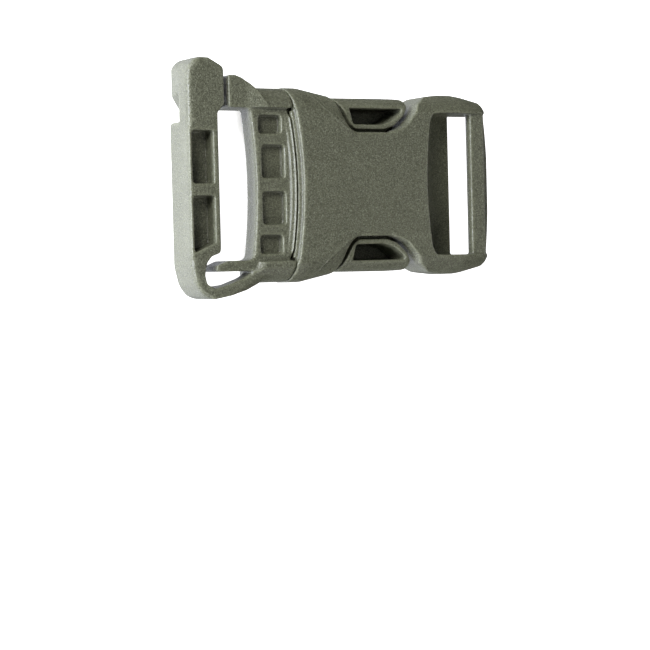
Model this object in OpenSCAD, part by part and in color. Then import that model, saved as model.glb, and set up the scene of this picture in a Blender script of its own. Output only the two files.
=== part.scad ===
// Side release buckle for narrow webbing, shown fastened and lying on its back.
// Lengths are millimetres. X runs along the buckle from the split bar to the webbing slot,
// Y runs across the webbing, Z points away from the surface that the buckle lies on.
// Everything is drawn from the middle of the closed mouth line and moved into place at the end.

/* [Webbing] */
// Width of the webbing that both halves take
webbing_w = 25; // [20:0.5:31]
// Free length of each webbing opening beyond the webbing
webbing_play = 1; // [0.5:0.1:2]

/* [Overall] */
// Thickness of the plug's frame, from its back to the front of the crossbar
frame_t = 8; // [6.6:0.1:9.6]
// Height of the middle of the socket's front above the plug's frame
crown_h = 1.75; // [1.4:0.05:2]
// Radius of the gently domed front
crown_r = 170; // [130:10:300]
// Length of the socket from the middle of its mouth to its frame ends
socket_l = 41.5; // [38:0.1:50]

/* [Socket] */
// Width beyond the webbing opening on each side at the mouth
mouth_side = 4.3; // [4.1:0.05:5]
// Width beyond the webbing opening on each side at the webbing end
end_side = 3.6; // [3.1:0.1:4.3]
// Thickness of the back plate
plate_t = 1.6; // [1.3:0.1:2]
// Radius of the bowed mouth line, seen from the front
bow_r = 90; // [60:5:130]
// Width of the low ledge along the mouth
ledge_w = 0.9; // [0.7:0.05:1.2]
// Drop from the front plate to that ledge
ledge_drop = 0.8; // [0.5:0.05:1.1]
// Length of each release window along the buckle at its inner edge
window_l = 10.4; // [9:0.1:11]
// Distance from the mouth to the left end of that inner edge
window_x = 11.2; // [10.4:0.1:12]
// Width of the front plate between the two windows
spine_w = 18.74; // [13.5:0.02:19.5]

/* [Webbing end] */
// Length of the webbing opening along the buckle at the front
slot_l = 10.35; // [9:0.05:11]
// Width of the front face of the bar that the webbing goes round
web_bar_w = 2.95; // [2.4:0.05:3.4]
// Depth of the left face of that bar
web_bar_d = 1.5; // [1.2:0.1:2.2]
// Radius of the scooped ramp that leads the webbing under the bar
ramp_r = 10; // [9:0.1:13]
// How far the gripping lip of the bar stands past the frame ends
lip_out = 1.1; // [0.8:0.05:2]

/* [Plug] */
// Gap for the webbing between the split bar and the crossbar
loop_gap = 7.2; // [5:0.1:9]
// Width of the split bar
split_w = 5.65; // [5:0.05:7]
// Width of the crossbar, from its left edge to its first step
crossbar_w = 6.64; // [6:0.02:8]
// Thickness of the crossbar
crossbar_t = 4; // [3:0.1:5]
// Thickness of the strap that carries the split bar
strap_t = 3.8; // [3:0.1:5]
// Depth of the four pockets in the crossbar
pocket_d = 1.3; // [0.8:0.1:2]
// Depth of the two pockets in the split bar
bar_pocket_d = 3.1; // [2:0.1:4]
// Length of the split bar's head
head_l = 8.4; // [7.8:0.1:10]
// Gap between the head and the post
head_gap = 0.85; // [0.5:0.05:1.2]
// Clearance between the plug and the socket
fit_gap = 0.3; // [0.25:0.05:0.4]

/* [Hidden] */

body_colour = [0.36, 0.37, 0.32];
plug_colour = [0.40, 0.41, 0.36];

// Heights
front_z = frame_t + crown_h;
mid_z = frame_t / 2;
bar_z = frame_t + 0.4;
cavity_low = plate_t;
cavity_high = frame_t - 0.7;

// Places across the webbing
slot_half = (webbing_w + webbing_play) / 2;
mouth_half = slot_half + mouth_side;
end_half = slot_half + end_side;
spine_half = spine_w / 2;
block_in = slot_half + 0.45;
block_out = mouth_half - 0.12;
button_out = slot_half + 2.75;
post_top = slot_half + 6.08;
head_low = slot_half + 0.4;
head_top = head_low + head_l + 0.35;
strap_low = -slot_half - 6.85;
cavity_half = mouth_half - 1.7;
// Rise of the facet between the post and its block, in degrees
rise = 15;
// Drop from the socket's front to the front of the blocks
block_drop = ledge_drop * 0.45;
// Gap at the mouth line, closer than the clearance inside the socket
mouth_gap = fit_gap * 0.7;

// Places along the buckle, on the middle line
mouth_x = 0.05;
block_x = 0.6;
step_one = mouth_x - 1.05;
step_two = mouth_x - 0.4;
cross_left = step_one - crossbar_w;
bar_right = cross_left - loop_gap;
bar_left = bar_right - split_w;
head_right = bar_right + 1.34;
post_left = head_right + head_gap;
facet_left = cross_left - 1.46;
web_bar_x = socket_l - 4.55;
slot_x = web_bar_x - slot_l;
bar_end = web_bar_x + web_bar_w;
lip_x = socket_l + lip_out;

// Whatever side is longer decides the middle of the part
shift_x = -(bar_left + max(lip_x, socket_l)) / 2;
shift_y = -(head_top + strap_low) / 2;

// Reach of a cutting block that must clear the whole part
far = 60;
// Overlap of a cut past the face that it opens
over = 1;
round_steps = 4;

// Columns of the tables of corners
PX = 0;
PY = 1;
PR = 2;

function unit(v) = v / norm(v);

// Points of one corner, rounded by about the radius r
function corner(a, p, b, r) =
    let (u = unit(a - p), v = unit(b - p), half_angle = acos(max(-1, min(1, u * v))) / 2,
         d = min(r / tan(half_angle), norm(a - p) * 0.48, norm(b - p) * 0.48))
    [for (k = [0 : round_steps]) let (t = k / round_steps)
        (1 - t) * (1 - t) * (p + u * d) + 2 * t * (1 - t) * p + t * t * (p + v * d)];

// A table of corners turned into the points of an outline
function outline(rows) =
    let (n = len(rows), xy = [for (row = rows) [row[PX], row[PY]]])
    [for (i = [0 : n - 1]) each rows[i][PR] > 0
        ? corner(xy[(i + n - 1) % n], xy[i], xy[(i + 1) % n], rows[i][PR])
        : [xy[i]]];

// The same table mirrored to the other side of the middle line, in reverse order
function across(rows) = [for (i = [len(rows) - 1 : -1 : 0]) [rows[i][PX], -rows[i][PY], rows[i][PR]]];

// A plan outline raised between two heights
module plan(rows, low, high) {
    translate([0, 0, low]) linear_extrude(high - low) polygon(outline(rows));
}

// A section along the buckle, in X and Z, drawn out across it
module across_section(rows, half) {
    translate([0, half, 0]) rotate([90, 0, 0]) linear_extrude(2 * half) polygon(outline(rows));
}

module box(low, high) {
    translate(low) cube(high - low);
}

module both_sides() {
    children();
    mirror([0, 1, 0]) children();
}

// Everything below the domed front, lowered by a drop
module dome(drop) {
    translate([0, 0, front_z - drop - crown_r]) rotate([0, 90, 0])
        cylinder(h = 4 * far, r = crown_r, center = true, $fn = 240);
}

// Everything left of the bowed line that crosses the middle at x
module bow(x, low, high) {
    translate([x - bow_r, 0, low]) cylinder(h = high - low, r = bow_r, $fn = 240);
}

// Section through an outer edge, as distance from the edge and height: flat back with an
// eased corner, upright side, and a shoulder that rounds over into the front
edge_section = [
    [-far, -over], [-1, -over], [-1, 0], [-0.25, 0.35], [0, 1.2], [0, frame_t * 0.61],
    [-0.2, frame_t * 0.75], [-0.65, frame_t * 0.875], [-1.3, frame_t * 0.98], [-2.1, frame_t * 1.06],
    [-3.1, frame_t * 1.13], [-8, frame_t * 1.36], [-far, frame_t * 1.5],
];

// Everything inside a straight edge that runs through x, y at a turn
module inside_edge(x, y, turn) {
    translate([x, y, 0]) rotate([0, 0, turn]) rotate([90, 0, 90])
        translate([0, 0, -2 * far]) linear_extrude(4 * far) polygon(edge_section);
}

// Everything inside an edge and its mirror image
module inside_both(x, y, turn) {
    intersection() {
        inside_edge(x, y, turn);
        mirror([0, 1, 0]) inside_edge(x, y, turn);
    }
}

// Section along the webbing end, with its rounded front and back edges
end_section = [
    [-far, -over, 0], [socket_l - 1.2, -over, 0], [socket_l - 1.2, 0, 0], [socket_l - 0.3, 0.45, 0],
    [socket_l, 1.4, 0], [socket_l, frame_t * 0.65, 0], [socket_l - 0.35, frame_t * 0.86, 0],
    [socket_l - 1, frame_t * 0.98, 0], [socket_l - 1.8, frame_t * 1.05, 0],
    [socket_l - 3, frame_t * 1.1, 0], [socket_l - 6, frame_t * 1.145, 0],
    [socket_l - 12, front_z + 0.2, 0], [-far, front_z + far, 0],
];

// Right wall of a release window, from the middle of the buckle outward
window_wall = [
    [window_x + window_l - 2.6, spine_half, 2.5], [window_x + window_l + 0.15, spine_half + 1.2, 2],
    [window_x + window_l + 2.6, slot_half + 0.15, 2], [window_x + window_l + 3.5, slot_half + 1.5, 1.5],
    [window_x + window_l + 6.4, slot_half + 3.1, 1.5], [window_x + window_l + 11, slot_half + 3.7, 0],
];

window_plan = concat(
    [[7.7, mouth_half + far, 0], [7.7, mouth_half - 0.3, 0], [window_x - 1.9, slot_half, 1.5],
     [window_x - 0.6, spine_half + 1.1, 1], [window_x + 0.7, spine_half, 1.5]],
    window_wall,
    [[window_x + window_l + 11, mouth_half + far, 0]]
);

// The scoop beside the right end of a window is the same wall leaning outward as it rises
scoop_low = frame_t - 0.9;
scoop_lean = 18;
scoop_root = window_x + window_l;
scoop_plan = concat(
    [[-7, mouth_half + far, 0], [-7, spine_half + 2.5, 0]],
    [for (row = window_wall) [(row[PX] - scoop_root) * cos(scoop_lean), row[PY], row[PR]]],
    [[11 * cos(scoop_lean), mouth_half + far, 0]]
);

// Place along the socket where its two outer forms meet, inside the windows
seam_x = window_x + window_l / 2;

module socket_form() {
    intersection() {
        union() {
            intersection() {
                box([-6, -far, 0], [seam_x, far, front_z + over]);
                inside_both(0, mouth_half, 0);
                inside_both(4.4, mouth_half - 0.52, -11.5);
            }
            intersection() {
                box([seam_x, -far, 0], [socket_l, far, front_z + over]);
                inside_both(0, end_half, 0);
                inside_both(socket_l - 6.9, end_half, -8);
                inside_both(socket_l - 3.3, end_half - 0.68, -13);
                inside_both(socket_l - 0.8, end_half - 1.5, -40);
                inside_both(socket_l - 0.2, slot_half + 1.4, -58);
                across_section(end_section, 2 * far);
            }
        }
        dome(0);
    }
}

// Hollow for the plug's root, prongs and guide pin
module socket_hollow() {
    side = [
        [-6, cavity_half, 0], [4, cavity_half, 0], [window_x - 2.5, cavity_half - 1, 0],
        [scoop_root + 2, cavity_half - 1, 0], [scoop_root + 2, spine_half, 1],
    ];
    plan(concat(across(side), side), cavity_low, cavity_high);
}

module webbing_opening() {
    side = [
        [slot_x, 0, 0], [slot_x + 0.15, slot_half - 9, 0], [slot_x + 0.55, slot_half - 5, 0],
        [slot_x + 1.1, slot_half - 1.6, 1], [slot_x + 1.9, slot_half - 0.15, 1], [slot_x + 4, slot_half, 0],
        [lip_x + over, slot_half, 0],
    ];
    // The ramp starts at the front edge and ends over the back plate
    ramp_end = web_bar_x - 1.2;
    start = [slot_x, front_z - 0.1];
    finish = [ramp_end, 2.6];
    chord = norm(finish - start);
    slope = unit(finish - start);
    centre = (start + finish) / 2 + [-slope[1], slope[0]] * sqrt(ramp_r * ramp_r - chord * chord / 4);
    intersection() {
        plan(concat(across(side), side), -over, front_z + over);
        union() {
            translate([centre[0], far, centre[1]]) rotate([90, 0, 0])
                cylinder(h = 2 * far, r = ramp_r, $fn = 120);
            box([ramp_end, -far, -2 * over], [far, far, front_z + over]);
            // Eased edge where the webbing leaves under the back plate
            across_section([[ramp_end - 1.3, -over, 0], [ramp_end + over, -over, 0],
                [ramp_end + over, 1.5, 0], [ramp_end, 1.2, 0], [ramp_end - 1, 0, 0]], far);
        }
    }
}

// Bar that the webbing goes round, with the gripping lip behind it
module webbing_bar() {
    rows = [
        [web_bar_x + 1.05, bar_z - web_bar_d - 1.7, 0], [bar_end, mid_z - 0.4, 0],
        [lip_x - 1, mid_z - 0.9, 0], [lip_x - 0.3, mid_z - 0.4, 0], [lip_x, mid_z + 0.6, 0],
        [lip_x - 0.2, mid_z + 1.5, 0],
        [bar_end + 1, frame_t * 0.81, 0], [bar_end + 0.7, frame_t * 0.9, 0], [bar_end, bar_z, 0.4],
        [web_bar_x, bar_z, 0.3], [web_bar_x, bar_z - web_bar_d, 0],
    ];
    lip_r = slot_half * slot_half * 0.4;
    intersection() {
        across_section(rows, slot_half + 0.3);
        translate([lip_x - lip_r, 0, 0]) cylinder(h = front_z, r = lip_r, $fn = 240);
    }
}

// Sloping facet between a mouth corner and the window beside it
module mouth_facet() {
    from_middle = slot_half + 0.75;
    translate([5.6, from_middle, front_z - from_middle * from_middle / (2 * crown_r)])
        rotate([0, 0, -38.2]) rotate([-27, 0, 0]) rotate([0, -5, 0]) box([-3.3, -1.5, 0], [6.9, 12, 6]);
}

module socket() {
    color(body_colour) difference() {
        union() {
            difference() {
                socket_form();
                webbing_opening();
            }
            webbing_bar();
        }
        // Mouth line, set back beside the plug's blocks, and the low ledge between them
        bow(mouth_x + mouth_gap / 2, -over, front_z + over);
        intersection() {
            bow(block_x + mouth_gap / 2, -over, front_z + over);
            both_sides() box([-6, block_in - fit_gap, -over], [6, far, front_z + over]);
        }
        difference() {
            intersection() {
                bow(ledge_w, mid_z, front_z + over);
                box([-6, -block_in, mid_z], [6, block_in, front_z + over]);
            }
            dome(ledge_drop);
        }
        intersection() {
            bow(block_x + mouth_gap / 2, -over, front_z + over);
            both_sides() box([-6, slot_half, mid_z], [6, block_in, front_z + over]);
        }
        socket_hollow();
        both_sides() {
            plan(window_plan, -over, front_z + over);
            intersection() {
                translate([scoop_root, 0, scoop_low]) rotate([0, scoop_lean, 0])
                    translate([0, 0, -4]) linear_extrude(16) polygon(outline(scoop_plan));
                box([window_x, 0, scoop_low - 0.6], [far, far, front_z + far]);
            }
            mouth_facet();
        }
    }
}

// Split bar with its head, and the strap that carries it, in plan
split_plan = [
    [head_right, head_low + 0.6, 0.4], [head_right, head_low + 7, 1.2],
    [head_right - 3.2, head_top, 1.2], [bar_left + 1.87, head_top, 3.2], [bar_left, head_top - 1.87, 3.2],
    [bar_left, strap_low + 5.8, 6], [bar_left + 0.8, strap_low + 2.55, 2.5],
    [bar_left + 2.2, strap_low + 0.65, 2.2], [bar_left + 4, strap_low, 2],
    [bar_left + 7.3, strap_low + 0.55, 6], [bar_left + 10.9, strap_low + 1.45, 4],
    [cross_left + 0.2, -block_out - 0.25, 1.5], [cross_left + 2.2, -block_out + 1, 0],
    [cross_left + 3, -block_in, 0], [cross_left, -block_in, 0], [cross_left - 0.5, -block_in - 1.15, 0.5],
    [cross_left - 1.25, -block_in - 1.95, 0.8], [cross_left - 2.76, -block_in - 2.8, 2],
    [bar_left + 7.1, strap_low + 2.57, 4], [bar_left + 4.4, strap_low + 1.87, 1.2],
    [bar_left + 2.85, strap_low + 2.7, 1],
    [bar_left + 2.45, strap_low + 4.25, 1.4], [bar_left + 2.9, -slot_half - 0.45, 1.2],
    [bar_right - 1.8, -slot_half + 0.65, 0.5], [bar_right - 0.2, -slot_half + 1.2, 0.3],
    [bar_right, -slot_half + 1.9, 0.3], [bar_right, head_low - 0.9, 0.4],
    [bar_right + 0.5, head_low - 0.35, 0.4],
];

// Post beside the head, up to the line where it runs out on the block
post_plan = [
    [post_left, block_in, 0.3], [-5.2, block_in, 0], [-5.4, slot_half + 0.9, 0.5],
    [-5.95, slot_half + 1.75, 1], [-6.75, slot_half + 3.15, 1.5], [-8.35, slot_half + 4.6, 2],
    [-10, slot_half + 5.65, 2], [post_left + 1.4, post_top, 1.5], [post_left, post_top, 0.4],
];

module split_frame() {
    difference() {
        intersection() {
            plan([for (i = [len(split_plan) - 1 : -1 : 0]) split_plan[i]], 0, frame_t);
            // Rounded shoulder where the strap runs into its block
            mirror([0, 1, 0]) inside_edge(cross_left + 1.8, block_out, -26.5);
        }
        // The back is cut away under the strap
        translate([0, -block_in, 0]) rotate([90, 0, 0]) linear_extrude(far)
            polygon([[bar_left + 5, -over], [far, -over], [far, frame_t - strap_t],
                [bar_left + 7, frame_t - strap_t]]);
        // Two pockets in the split bar, the lower one with a slanting end
        plan([[bar_left + 0.7, 0.25, 0.4], [bar_right - 1, 0.25, 0.4],
            [bar_right - 1, slot_half - 3.6, 0.4], [bar_left + 0.7, slot_half - 3.6, 0.4]],
            frame_t - bar_pocket_d, frame_t + over);
        plan([[bar_left + 0.7, -slot_half + 1.3, 0.3], [bar_right - 1, -slot_half + 3, 0.3],
            [bar_right - 1, -1.86, 0.4], [bar_left + 0.7, -1.86, 0.4]],
            frame_t - bar_pocket_d, frame_t + over);
        // Notch in the back edge of the bar below its head, and the head's set-back above it
        plan([[bar_left - over, slot_half - 1.9, 0], [bar_left + 2.2, slot_half - 1.9, 0],
            [bar_left + 2.2, slot_half + 0.1, 0], [bar_left + 1.7, slot_half + 0.6, 0.4],
            [bar_left + 0.5, slot_half + 2.6, 1.4], [bar_left - over, slot_half + 5, 0]], -over, mid_z);
        translate([bar_left, slot_half, mid_z + 0.6]) rotate([0, -6, 0])
            box([-3, -0.1, -8], [0, 12, 0]);
    }
}

// Everything behind a rise that starts steep at x = 0 and eases off, along Y
module round_facet() {
    intersection() {
        rotate([0, -56, 0]) box([-far, -far, -far], [far, far, 0]);
        translate([0.2, 0, 0.3]) rotate([0, -28, 0]) box([-far, -far, -far], [far, far, 0]);
    }
}

// Blocks on both sides of the crossbar, with the facets that rise to them
module blocks() {
    // Right ends of the blocks, which follow the bowed mouth line, with eased corners
    inner_x = block_x - block_in * block_in / (2 * bow_r) - mouth_gap / 2;
    outer_x = block_x - block_out * block_out / (2 * bow_r);
    corner_r = 0.4;
    intersection() {
        union() {
            plan([[cross_left - 1.4, block_in, 0], [inner_x, block_in, corner_r],
                [outer_x, block_out + over, 0], [cross_left - 1.4, block_out + over, 0]], 0, front_z);
            plan([[cross_left, -block_in, 0], [cross_left - 0.4, -block_in - 1, 0],
                [cross_left - 1.85, -block_in - 2.47, 0], [cross_left - 1.85, -block_out - over, 0],
                [outer_x, -block_out - over, 0], [inner_x, -block_in, corner_r]], mid_z, front_z);
            plan([[cross_left, -block_in, 0], [cross_left, -block_out - over, 0],
                [outer_x, -block_out - over, 0], [inner_x, -block_in, corner_r]], 0, mid_z);
        }
        inside_both(0, block_out, 0);
        dome(block_drop);
        union() {
            translate([facet_left, 0, frame_t]) rotate([0, -rise, 0]) box([-far, 0, -far], [far, far, 0]);
            translate([cross_left, -block_in, frame_t]) rotate([0, 0, -21.8]) round_facet();
            translate([cross_left - 0.4, -block_in - 1, frame_t]) rotate([0, 0, -45]) round_facet();
        }
        bow(block_x - mouth_gap / 2, -over, front_z + over);
    }
    intersection() {
        plan(post_plan, 0, front_z);
        union() {
            box([-far, 0, 0], [far, far, frame_t]);
            translate([facet_left, 0, frame_t]) rotate([0, -rise, 0]) box([0, 0, -3], [far, far, 0]);
        }
    }
}

// Rows of the crossbar's pockets: near side, far side, left and right
pockets = [
    [slot_half - 4.07, slot_half - 0.78, -7.0, -2.52], [1.15, slot_half - 6, -6.5, -2.0],
    [-slot_half + 6, -1.18, -6.51, -1.94], [-slot_half + 0.86, -slot_half + 4.18, -7.14, -2.68],
];
LOW = 0;
HIGH = 1;
LEFT = 2;
RIGHT = 3;

// Rounded filling of an inside corner, between the bowed line that crosses the middle at x
// and a wall at y that faces the middle
module inner_corner(x, y, r, low, high) {
    near = y - 1.6 * r;
    edge_x = x - y * y / (2 * bow_r) + 0.02;
    near_x = x - near * near / (2 * bow_r) + 0.02;
    plan([[edge_x - 1.6 * r, y, 0], [edge_x, y, r], [near_x, near, 0], [near_x + 0.8, near, 0],
        [near_x + 0.8, y + 0.25, 0], [edge_x - 1.6 * r, y + 0.25, 0]], low, high);
}

module crossbar() {
    half = block_in + 0.3;
    difference() {
        intersection() {
            box([-30, -half, 0], [mouth_x + 1, half, front_z]);
            bow(mouth_x - mouth_gap / 2, -over, front_z + over);
            // The back is cut away under the crossbar's left part
            union() {
                difference() {
                    box([-30, -far, frame_t - crossbar_t], [far, far, front_z]);
                    bow(cross_left, -over, front_z + over);
                }
                box([step_one - 3.4, -far, -over], [far, far, front_z]);
            }
            // Two steps rise to the ledge of the socket
            union() {
                box([-30, -far, -over], [far, far, frame_t]);
                intersection() {
                    dome(ledge_drop + 0.45);
                    union() {
                        difference() {
                            box([-30, -far, 0], [far, far, front_z]);
                            bow(step_one, -over, front_z + over);
                        }
                        both_sides() inner_corner(step_one, block_in, 1.5, mid_z, front_z);
                    }
                }
                intersection() {
                    dome(ledge_drop);
                    union() {
                        difference() {
                            box([-30, -far, 0], [far, far, front_z]);
                            bow(step_two, -over, front_z + over);
                        }
                        both_sides() inner_corner(step_two, block_in, 0.7, mid_z, front_z);
                    }
                }
            }
        }
        // The mouth gap widens beside the blocks
        near = slot_half - 1.6;
        near_x = mouth_x - near * near / (2 * bow_r) - mouth_gap / 2;
        both_sides() plan([[near_x, near, 0], [near_x + 1, near, 0], [near_x + 1, block_in, 0],
            [near_x - 0.65, block_in, 0]], frame_t - 2, front_z + over);
        for (p = pockets)
            plan([[p[LEFT], p[LOW], 0.7], [p[RIGHT], p[LOW], 0.7], [p[RIGHT], p[HIGH], 0.7],
                [p[LEFT], p[HIGH], 0.7]], frame_t - pocket_d, frame_t + over);
    }
}

// Stub beside the strap, with a long slanting corner
module stub() {
    high = -slot_half - 0.2;
    low = -slot_half - 2.05;
    plan([[bar_left + 4.7, low, 0.3], [cross_left + 1.5, low, 0], [cross_left + 1.5, high, 0],
        [bar_left + 6.8, high, 1], [bar_left + 4.75, high - 0.84, 0.4]], frame_t - 5.4, frame_t);
    // Rounded inside corners between the crossbar and its neighbours
    inner_corner(cross_left, block_in, 1.2, frame_t - crossbar_t, frame_t);
    mirror([0, 1, 0]) inner_corner(cross_left, -high, 1.6, frame_t - crossbar_t, frame_t);
}

// Ring-shaped top of a button in plan, and the hollow inside it
button_plan = [
    [window_x - 1.15, slot_half + 0.2, 0.5], [window_x + 0.15, spine_half + 1.35, 0.8],
    [window_x + 1.2, spine_half + 0.5, 1.2], [scoop_root - 3.3, spine_half + 0.5, 2.5],
    [scoop_root - 1.2, spine_half + 1.13, 2], [scoop_root + 1, slot_half - 0.6, 1.5],
    [scoop_root + 1.95, slot_half + 1.1, 1.2], [scoop_root + 2, button_out - 0.1, 2],
    [scoop_root - 2, button_out, 0], [window_x - 2.64, button_out - 0.1, 0.3],
];
button_hollow = [
    [window_x + 0.05, slot_half + 0.66, 0.3], [window_x + 0.7, spine_half + 1.4, 0.6],
    [scoop_root - 3.8, spine_half + 1.35, 2.5], [scoop_root - 1.5, spine_half + 2.1, 1.5],
    [scoop_root + 0.5, slot_half - 0.02, 1], [scoop_root + 0.75, slot_half + 0.66, 0.2],
];

// Section across a button: distance from the middle line, and height
button_section = [
    [0, 0.7], [button_out - 1.1, 0.7], [button_out - 0.3, 1.2], [button_out, 2.2],
    [button_out, frame_t * 0.6], [button_out - 0.3, frame_t * 0.76], [button_out - 0.9, frame_t * 0.9],
    [button_out - 1.7, frame_t], [button_out - 2.7, frame_t * 1.05], [0, frame_t * 1.12],
];

// The part inside the socket: root, guide pin, and two prongs that end in the buttons
module latch() {
    low = cavity_low + fit_gap;
    high = cavity_high - fit_gap;
    root_half = cavity_half - fit_gap;
    box([-1.8, -root_half, low], [2.4, root_half, high]);
    box([-1.8, -2.2, low + 1], [scoop_root - 4, 2.2, high - 1]);
    both_sides() difference() {
        union() {
            plan([[1, slot_half - 2.9, 0], [9, slot_half - 2.4, 0], [window_x + 2, spine_half - 0.4, 1],
                [scoop_root - 3, spine_half - 0.4, 2], [scoop_root - 0.6, spine_half + 1.4, 1],
                [scoop_root + 0.6, slot_half - 0.4, 1], [window_x, slot_half, 1], [8.4, slot_half, 2],
                [1, slot_half - 0.6, 0]], low, high);
            intersection() {
                plan(button_plan, 0.5, front_z);
                rotate([90, 0, 90]) linear_extrude(far) polygon(button_section);
            }
        }
        plan(button_hollow, 2, front_z);
    }
}

module plug() {
    color(plug_colour) union() {
        split_frame();
        blocks();
        crossbar();
        stub();
        latch();
    }
}

translate([shift_x, shift_y, 0]) {
    socket();
    plug();
}
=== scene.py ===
"""Looks of the side release buckle: moulded roundings, textured plastic, pale floor, soft studio light."""

import math

import bpy
import numpy as np
import openvdb as vdb
from mathutils import Euler, Matrix, Vector


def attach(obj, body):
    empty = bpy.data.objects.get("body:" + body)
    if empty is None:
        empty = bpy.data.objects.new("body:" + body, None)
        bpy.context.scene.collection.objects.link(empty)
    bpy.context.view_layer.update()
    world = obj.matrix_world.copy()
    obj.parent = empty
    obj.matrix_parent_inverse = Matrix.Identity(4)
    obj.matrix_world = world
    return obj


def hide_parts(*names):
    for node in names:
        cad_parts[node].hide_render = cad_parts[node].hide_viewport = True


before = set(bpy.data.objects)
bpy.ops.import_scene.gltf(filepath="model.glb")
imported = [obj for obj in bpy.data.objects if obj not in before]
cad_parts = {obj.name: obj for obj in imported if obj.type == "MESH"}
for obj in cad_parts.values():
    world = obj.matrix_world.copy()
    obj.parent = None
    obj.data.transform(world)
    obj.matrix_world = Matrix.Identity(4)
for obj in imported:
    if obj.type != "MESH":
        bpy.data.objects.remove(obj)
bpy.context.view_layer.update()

MM = 0.001
# Place of the middle of the mouth line in the shared frame, in millimetres; part.scad draws from there
MOUTH = np.array([-11.055, -1.15, 0.0])

# Sides of the voxels that the roundings are worked out in, in millimetres
VOXEL = 0.11
# Distance to each side of a surface that is kept exact, in voxels
REACH = 10
# Blurs that round edges by about 0.25, 0.5 and 1 mm, in millimetres
FINE = 0.13
BROAD = 0.27
WIDE = 0.5
# How freely flat areas are drawn with larger faces, from 0 to 1
FLATNESS = 0.02

# Places from the middle of the mouth line, in millimetres, as in part.scad
FRAME_T = 8.0
BOW_R = 90.0
RIM_X = 0.9
CROSS_LEFT = -7.64
BAR_LEFT = -20.49
WINDOW_X = 11.2
SPINE_HALF = 9.37
POCKET_FLOOR = FRAME_T - 1.3

# Heights and half widths of the fine raised marks, in millimetres
RING_RISE = 0.035
RING_WIDTH = 0.11
CREASE_RISE = 0.08
CREASE_WIDTH = 0.13
# Corners of the raised line from each mouth corner to its window, on the upper side
CREASE_RUN = [(3.3, 16.6), (4.4, 15.3), (5.6, 13.75), (7.7, 11.9), (9.65, 10.33), (11, 9.5)]
# Middle and radius of each ejector pin's mark, and the height of the face that it is on
SOCKET_RINGS = [((3.35, 11.3), 1.2, 9.1), ((2.56, -12.0), 1.2, 9.1)]
PLUG_RINGS = [
    ((-17.85, 16.48), 1.2, FRAME_T),
    ((-4.75, 10.6), 0.85, POCKET_FLOOR),
    ((-4.9, -10.5), 0.85, POCKET_FLOOR),
]
# Difference between the fine and the broad blur along a square edge, in millimetres
FULL_BEND = 0.06

OLIVE_GREY = (0.092, 0.096, 0.062)

# Half the side of the floor, in metres
FLOOR_HALF = 3.0
# Camera's lens in millimetres, its place in metres and its turns about X, Y and Z in degrees
LENS = 108
SENSOR = 36
CAMERA_PLACE = (-0.175399, -0.015393, 0.311515)
CAMERA_TURNS = (-0.9529, -29.2296, -1.6913)
# Area lights that face the buckle: place, width and height in metres, power in watts, colour
WHITE = (1, 1, 1)
COOL_WHITE = (0.94, 0.98, 1.14)
LIGHTS = {
    "top_left": ((-0.48, 0.35, 0.40), 0.3, 0.3, 5.1, WHITE),
    "left_low": ((-0.62, 0, 0.12), 0.5, 0.12, 5.4, COOL_WHITE),
    "bottom": ((0, -0.65, 0.42), 0.4, 0.4, 2.5, WHITE),
    "overhead": ((0, 0, 0.75), 0.4, 0.4, 0.35, WHITE),
    "right_low": ((0.6, 0, 0.28), 0.3, 0.3, 0.7, WHITE),
}


def field_of(obj):
    """Signed distance in millimetres to a node's surface, as a grid, and the place of its first voxel."""
    mesh = obj.data
    mesh.calc_loop_triangles()
    points = np.empty(len(mesh.vertices) * 3, np.float32)
    mesh.vertices.foreach_get("co", points)
    points = points.reshape(-1, 3) / MM
    triangles = np.empty(len(mesh.loop_triangles) * 3, np.int32)
    mesh.loop_triangles.foreach_get("vertices", triangles)
    transform = vdb.createLinearTransform(voxelSize=VOXEL)
    grid = vdb.FloatGrid.createLevelSetFromPolygons(
        points, triangles=triangles.reshape(-1, 3).astype(np.uint32), transform=transform, halfWidth=REACH)
    low, high = [np.array(c) for c in grid.evalActiveVoxelBoundingBox()]
    low -= 2
    high += 3
    values = np.empty(tuple(high - low), np.float32)
    grid.copyToArray(values, ijk=tuple(int(c) for c in low))
    return values, low


def blurred(values, sigma):
    """The grid after a Gaussian blur; sigma is in millimetres."""
    width = max(1, math.ceil(3 * sigma / VOXEL))
    taps = np.exp(-0.5 * (np.arange(-width, width + 1) * VOXEL / sigma) ** 2)
    taps = (taps / taps.sum()).astype(np.float32)
    for axis in range(3):
        padded = np.pad(values, [(width, width) if a == axis else (0, 0) for a in range(3)], mode="edge")
        count = values.shape[axis]
        out = np.zeros_like(values)
        for k, tap in enumerate(taps):
            part = [slice(None)] * 3
            part[axis] = slice(k, k + count)
            out += tap * padded[tuple(part)]
        values = out
    return values


def axes_of(values, low):
    """Coordinates of the voxels from the middle of the mouth line, one thin array for each axis."""
    out = []
    for axis in range(3):
        line = (np.arange(values.shape[axis]) + low[axis]) * VOXEL - MOUTH[axis]
        shape = [1, 1, 1]
        shape[axis] = -1
        out.append(line.reshape(shape).astype(np.float32))
    return out


def eased(values, low, high):
    """Goes smoothly from 0 at low to 1 at high."""
    part = np.clip((values - low) / (high - low), 0, 1)
    return part * part * (3 - 2 * part)


def along_bow(x, y, middle):
    """Distance in X from the bowed line that crosses the middle at the given x."""
    return np.abs(x - middle + y * y / (2 * BOW_R))


def rim_area(x, y, z):
    """Share of broad rounding along the socket's front edge at the mouth."""
    return 0.45 * (1 - eased(along_bow(x, y, RIM_X), 0.4, 0.8)) * eased(z, FRAME_T - 0.4, FRAME_T + 0.3)


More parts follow.
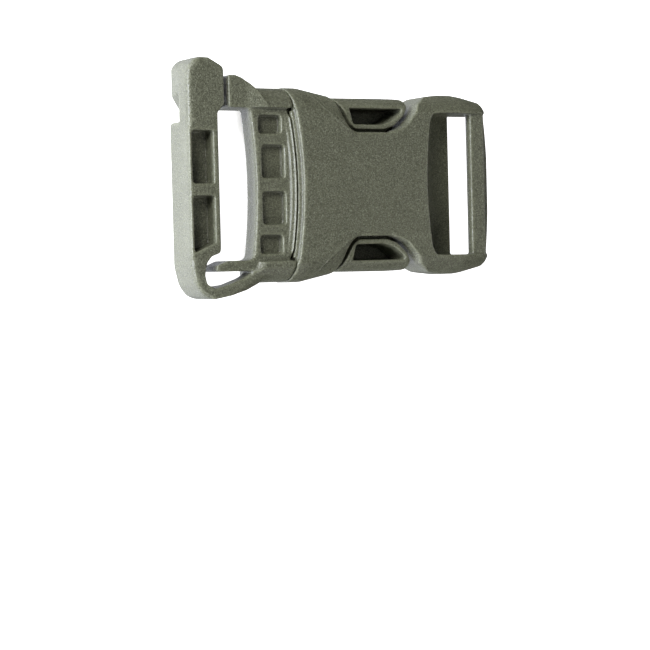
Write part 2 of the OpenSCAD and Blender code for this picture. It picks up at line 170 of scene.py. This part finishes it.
def window_area(x, y, z):
    """Share of wide rounding along the left and inner edges of the release windows."""
    slant = 0.8 * (1 - eased(np.abs(x - WINDOW_X + 0.72 * (np.abs(y) - SPINE_HALF)), 1.2, 2.0))
    slant = slant * (1 - eased(np.abs(y), 11.8, 13.2))
    inner = 0.5 * (1 - eased(np.abs(np.abs(y) - SPINE_HALF), 0.6, 1.2)) * (1 - eased(x, 18.5, 20.5))
    return np.maximum(slant, inner) * eased(np.abs(y), 8.0, 8.8) * eased(z, 6.4, 7.4) * eased(x, 5, 6.5)


def frame_area(x, y, z):
    """Share of broad rounding along the split bar, the crossbar and where the strap joins its block."""
    bar = np.sqrt((x - BAR_LEFT) ** 2 + (z - FRAME_T) ** 2)
    root = np.sqrt((x + 9.3) ** 2 + (y + 15.6) ** 2 + (z - FRAME_T) ** 2)
    cross = np.sqrt(along_bow(x, y, CROSS_LEFT) ** 2 + (z - FRAME_T) ** 2) + 5 * (np.abs(y) > 13)
    share = np.maximum(1 - eased(bar, 0.55, 0.95), 1 - eased(root, 1.2, 2.6))
    return np.maximum(share, 1 - eased(cross, 0.5, 0.9))


def left_area(x, y, z):
    """Share of wide rounding along the left side of the split bar, beyond its two pockets."""
    ends = np.maximum(eased(y, 9.6, 10.4), eased(-y, 12.2, 13))
    reach = BAR_LEFT + 1.0 + 2.4 * np.maximum(eased(y, 18, 21.5), eased(-y, 15, 19))
    return ends * (1 - eased(x, reach, reach + 0.8)) * eased(z, 5.5, 6.5)


def back_area(x, y, z):
    """Share of broad rounding along the back edges."""
    return 1 - eased(z, 0.6, 1.4) + 0 * x * y


def ring(x, y, z, centre, radius, height):
    """Height of a faint ring that an ejector pin leaves, on a front face near the given height."""
    distance = np.sqrt((x - centre[0]) ** 2 + (y - centre[1]) ** 2) - radius
    return RING_RISE * np.exp(-(distance / RING_WIDTH) ** 2) * (np.abs(z - height) < 0.8)


def crease(x, y, z):
    """Height of the fine raised line that runs from each mouth corner to its window."""
    flat = np.full(np.broadcast_shapes(x.shape, y.shape), 9.0, np.float32)
    out = np.abs(y)
    for (ax, ay), (bx, by) in zip(CREASE_RUN[:-1], CREASE_RUN[1:]):
        length = (bx - ax) ** 2 + (by - ay) ** 2
        along = np.clip(((x - ax) * (bx - ax) + (out - ay) * (by - ay)) / length, 0, 1)
        off_x = x - ax - along * (bx - ax)
        off_y = out - ay - along * (by - ay)
        flat = np.minimum(flat, np.sqrt(off_x ** 2 + off_y ** 2))
    return CREASE_RISE * np.exp(-(flat / CREASE_WIDTH) ** 2) * (z > 6)


def sampled(values, points, low):
    """Values of the grid at points given in millimetres."""
    place = points / VOXEL - low
    cell = np.clip(np.floor(place).astype(int), 0, np.array(values.shape) - 2)
    part = place - cell
    out = np.zeros(len(points))
    for corner in range(8):
        bit = [(corner >> a) & 1 for a in range(3)]
        weight = np.ones(len(points))
        for a in range(3):
            weight *= part[:, a] if bit[a] else 1 - part[:, a]
        out += weight * values[cell[:, 0] + bit[0], cell[:, 1] + bit[1], cell[:, 2] + bit[2]]
    return out


def largest(areas, x, y, z):
    """Largest share that any of the areas gives at each voxel."""
    share = np.zeros((1, 1, 1), np.float32)
    for area in areas:
        share = np.maximum(share, area(x, y, z))
    return share


def moulded(node, broad_areas, wide_areas, marks):
    """The looks of a CAD node: rounded edges, rounder in the areas, and fine raised marks."""
    values, low = field_of(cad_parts[node])
    x, y, z = axes_of(values, low)
    shape = blurred(values, FINE)
    broad = blurred(values, BROAD)
    # Above 0 on outer edges, below 0 in inner corners
    bend = broad - shape
    shape += largest(broad_areas, x, y, z) * bend
    shape += largest(wide_areas, x, y, z) * (blurred(values, WIDE) - shape)
    for mark in marks:
        shape -= mark(x, y, z)
    del values, broad

    grid = vdb.FloatGrid(float(REACH * VOXEL))
    grid.transform = vdb.createLinearTransform(voxelSize=VOXEL)
    grid.copyFromArray(shape.astype(np.float32), ijk=tuple(int(c) for c in low))
    points, triangles, quads = grid.convertToPolygons(isovalue=0.0, adaptivity=FLATNESS)
    slope = np.stack([sampled(np.gradient(shape, axis=axis), points, low) for axis in range(3)], axis=1)
    slope /= np.linalg.norm(slope, axis=1, keepdims=True) + 1e-9
    faces = [tuple(int(i) for i in f) for f in quads] + [tuple(int(i) for i in f) for f in triangles]
    a, b, c = [points[i] for i in faces[0][:3]]
    if np.dot(np.cross(b - a, c - a), slope[faces[0][0]]) < 0:
        faces = [f[::-1] for f in faces]

    mesh = bpy.data.meshes.new(node + "_moulding")
    mesh.from_pydata((points * MM).tolist(), [], faces)
    mesh.polygons.foreach_set("use_smooth", [True] * len(mesh.polygons))
    mesh.normals_split_custom_set_from_vertices(slope.tolist())
    # Edge value: above 0 on outer edges, which carry wear, and below 0 in inner corners, which get painted
    # shade in the material
    edge = mesh.attributes.new("edge", "FLOAT", "POINT")
    edge.data.foreach_set("value", (sampled(bend, points, low) / FULL_BEND).astype(np.float32))
    obj = bpy.data.objects.new(node + "_moulding", mesh)
    bpy.context.scene.collection.objects.link(obj)
    print(node, "triangles", 2 * len(quads) + len(triangles), flush=True)
    return obj


def plastic(name, colour):
    """Moulded plastic with a fine spark-eroded texture."""
    material = bpy.data.materials.new(name)
    material.use_nodes = True
    tree = material.node_tree
    shader = tree.nodes["Principled BSDF"]

    def add(kind, **settings):
        node = tree.nodes.new(kind)
        for key, value in settings.items():
            setattr(node, key, value)
        return node

    def link(source, target):
        tree.links.new(source, target)

    place = add("ShaderNodeTexCoord").outputs["Object"]

    def noise(scale, detail, roughness=0.5):
        node = add("ShaderNodeTexNoise")
        node.inputs["Scale"].default_value = scale
        node.inputs["Detail"].default_value = detail
        node.inputs["Roughness"].default_value = roughness
        link(place, node.inputs["Vector"])
        return node.outputs["Fac"]

    def spread(source, low, high, out_low, out_high):
        node = add("ShaderNodeMapRange")
        link(source, node.inputs["Value"])
        for key, value in zip(("From Min", "From Max", "To Min", "To Max"), (low, high, out_low, out_high)):
            node.inputs[key].default_value = value
        return node.outputs["Result"]

    def blend(factor, first, second):
        node = add("ShaderNodeMix", data_type="RGBA")
        link(factor, node.inputs["Factor"])
        for slot, value in ((6, first), (7, second)):
            if isinstance(value, tuple):
                node.inputs[slot].default_value = (*value, 1)
            else:
                link(value, node.inputs[slot])
        return node.outputs[2]

    def shade(factor, shift=0.0):
        return tuple(c * factor + shift for c in colour)

    edge = add("ShaderNodeAttribute", attribute_name="edge").outputs["Fac"]
    grain = noise(2700, 2.0, 0.6)
    speck = noise(4600, 1.0)
    cloud = noise(120, 3.0)
    scuff = noise(700, 4.0, 0.7)
    # A slow drift of tone, the mottle of the eroded texture, and its palest points
    tone = blend(spread(cloud, 0.35, 0.65, 0, 1), shade(0.95), shade(1.05))
    tone = blend(spread(grain, 0.60, 0.34, 0, 0.75), tone, shade(0.42))
    tone = blend(spread(speck, 0.50, 0.70, 0, 0.9), tone, shade(1.5, 0.035))
    # Rubbed outer edges are a little paler and smoother; inner corners are darkened with painted shade
    rubbed = spread(edge, 0.15, 1.0, 0, 1)
    worn = add("ShaderNodeMath", operation="MULTIPLY")
    link(rubbed, worn.inputs[0])
    link(spread(scuff, 0.35, 0.65, 0.1, 0.5), worn.inputs[1])
    worn = worn.outputs[0]
    tone = blend(worn, tone, shade(1.7, 0.01))
    # Painted shade: inner corners, where the edge value is below 0, are darkened as ambient occlusion would
    # darken them
    tone = blend(spread(edge, -0.2, -1.0, 0, 0.25), tone, shade(0.4))
    link(tone, shader.inputs["Base Color"])
    gloss = add("ShaderNodeMath", operation="SUBTRACT")
    link(spread(grain, 0.3, 0.7, 0.28, 0.48), gloss.inputs[0])
    link(spread(worn, 0, 0.5, 0, 0.1), gloss.inputs[1])
    link(gloss.outputs[0], shader.inputs["Roughness"])
    shader.inputs["IOR"].default_value = 1.5
    bump = add("ShaderNodeBump")
    bump.inputs["Strength"].default_value = 1.0
    bump.inputs["Distance"].default_value = 0.00012
    link(grain, bump.inputs["Height"])
    link(bump.outputs["Normal"], shader.inputs["Normal"])
    return material


def socket_marks(x, y, z):
    """Crease lines and two faint ejector rings on the socket's front."""
    return crease(x, y, z) + sum(ring(x, y, z, *mark) for mark in SOCKET_RINGS)


def plug_marks(x, y, z):
    """Faint ejector rings on the head and in the end pockets."""
    return sum(ring(x, y, z, *mark) for mark in PLUG_RINGS)


def light_table():
    """White floor that glows, with a painted shadow where the buckle closes it in: the glow fades with
    ambient occlusion.
    """
    mesh = bpy.data.meshes.new("floor")
    half = FLOOR_HALF
    corners = [(-half, -half, 0), (half, -half, 0), (half, half, 0), (-half, half, 0)]
    mesh.from_pydata(corners, [], [(0, 1, 2, 3)])
    material = bpy.data.materials.new("floor_white")
    material.use_nodes = True
    tree = material.node_tree
    shader = tree.nodes["Principled BSDF"]
    shader.inputs["Base Color"].default_value = (0.85, 0.85, 0.85, 1)
    shader.inputs["Roughness"].default_value = 0.9
    shader.inputs["Emission Color"].default_value = (1, 1, 1, 1)
    # Painted shadow: the floor's glow is cut by ambient occlusion under and near the buckle
    occlusion_shade = tree.nodes.new("ShaderNodeAmbientOcclusion")
    occlusion_shade.samples = 8
    occlusion_shade.inputs["Distance"].default_value = 0.02
    glow = tree.nodes.new("ShaderNodeMapRange")
    for key, value in (("From Min", 0.04), ("From Max", 0.12), ("To Min", 0), ("To Max", 1.15)):
        glow.inputs[key].default_value = value
    tree.links.new(occlusion_shade.outputs["AO"], glow.inputs["Value"])
    tree.links.new(glow.outputs["Result"], shader.inputs["Emission Strength"])
    mesh.materials.append(material)
    floor = bpy.data.objects.new("floor", mesh)
    bpy.context.scene.collection.objects.link(floor)
    # Left out of reflections, because the photograph's upper sides mirror no bright ground
    floor.visible_glossy = False
    return floor


def photo_camera():
    """Camera at the photograph's viewing angle."""
    data = bpy.data.cameras.new("camera")
    data.lens = LENS
    data.sensor_width = SENSOR
    camera = bpy.data.objects.new("camera", data)
    bpy.context.scene.collection.objects.link(camera)
    turn = Euler([math.radians(angle) for angle in CAMERA_TURNS])
    camera.matrix_world = Matrix.Translation(CAMERA_PLACE) @ turn.to_matrix().to_4x4()
    return camera


def area_light(name, place, width, height, power, colour):
    """Rectangular light that faces the buckle."""
    data = bpy.data.lights.new(name, "AREA")
    data.shape = "RECTANGLE"
    data.size = width
    data.size_y = height
    data.energy = power
    data.color = colour
    light = bpy.data.objects.new(name, data)
    light.location = place
    light.rotation_euler = (-Vector(place)).to_track_quat("-Z", "Y").to_euler()
    bpy.context.scene.collection.objects.link(light)


def studio_world():
    """Dim world, bright low on the left, which gives the left walls their pale tone."""
    world = bpy.data.worlds.new("studio")
    world.use_nodes = True
    tree = world.node_tree
    background = tree.nodes["Background"]
    background.inputs["Color"].default_value = (0.93, 0.96, 1.05, 1)
    direction = tree.nodes.new("ShaderNodeTexCoord")
    toward = tree.nodes.new("ShaderNodeVectorMath")
    toward.operation = "DOT_PRODUCT"
    toward.inputs[1].default_value = (-0.75, 0, -0.66)
    bright = tree.nodes.new("ShaderNodeMapRange")
    for key, value in (("From Min", 0.1), ("From Max", 0.95), ("To Min", 0.02), ("To Max", 2.8)):
        bright.inputs[key].default_value = value
    tree.links.new(direction.outputs["Generated"], toward.inputs[0])
    tree.links.new(toward.outputs["Value"], bright.inputs["Value"])
    tree.links.new(bright.outputs["Result"], background.inputs["Strength"])
    # The floor hides the bright part from sampled light, so only bounced rays look for it
    world.cycles.sampling_method = "NONE"
    return world


socket = moulded("socket", [rim_area, back_area], [window_area], [socket_marks])
plug = moulded("plug", [frame_area, back_area], [left_area], [plug_marks])
for piece, node in ((socket, "socket"), (plug, "plug")):
    piece.data.materials.append(plastic(node + "_plastic", OLIVE_GREY))
    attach(piece, "root")
    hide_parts(node)

light_table()
bpy.context.scene.camera = photo_camera()
for name, settings in LIGHTS.items():
    area_light(name, *settings)
bpy.context.scene.world = studio_world()
bpy.context.scene.view_settings.view_transform = "Standard"
